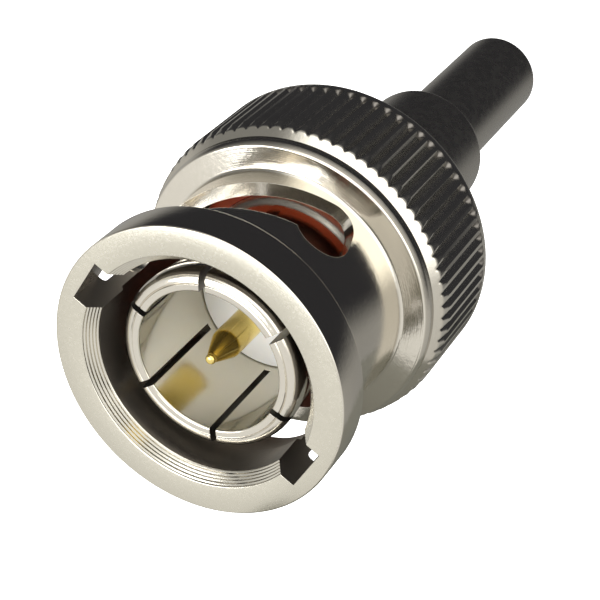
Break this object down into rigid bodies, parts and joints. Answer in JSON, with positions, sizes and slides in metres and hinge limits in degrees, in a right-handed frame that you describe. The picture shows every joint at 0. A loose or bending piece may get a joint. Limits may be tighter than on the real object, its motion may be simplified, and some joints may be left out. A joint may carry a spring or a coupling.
{
  "type": "bnc crimp plug",
  "caption": "Bayonet-lock coaxial cable plug: knurled coupling nut with cam slots round a spring-finger sleeve and gold centre pin, with a crimp ferrule behind.",
  "frame": {"origin": "centre of the ferrule's rear end, where the cable goes in", "axes": "+Z along the plug's axis, the way it mates; +X through the nut's entry notches at rest"},
  "size_m": [0.0148, 0.0148, 0.0349],
  "materials": {
    "polished_nickel": "bright nickel plate on turned brass",
    "satin_nickel": "satin nickel plate on turned brass",
    "gold_plate": "gold plate on turned brass",
    "red_silicone": "moulded red-brown silicone",
    "white_fluoropolymer": "turned white fluoropolymer",
    "spring_steel": "plain stamped spring steel"
  },
  "bodies": {
    "plug_body": {"outer_contact": "polished_nickel", "gasket": "red_silicone", "front_insulator": "white_fluoropolymer", "rear_insulator": "white_fluoropolymer", "centre_pin": "gold_plate", "rear_body": "satin_nickel", "crimp_ferrule": "satin_nickel", "front_washer": "spring_steel", "wave_washer_front": "spring_steel", "wave_washer_rear": "spring_steel", "retaining_ring": "spring_steel"},
    "spring_seat": {"rear_washer": "spring_steel"},
    "coupling_nut": {"coupling_nut": "polished_nickel"}
  },
  "joints": [
    {"name": "nut_float", "type": "slide", "parent": "plug_body", "child": "spring_seat", "axis": [0, 0, 1], "range_m": [0, 0.0006], "stiffness_N_per_m": 12000, "springref_m": -0.0003, "deforming": ["wave_washer_front", "wave_washer_rear"]},
    {"name": "nut_spin", "type": "hinge", "parent": "spring_seat", "child": "coupling_nut", "pos_m": [0, 0, 0.0225], "axis": [0, 0, 1], "continuous": true}
  ]
}
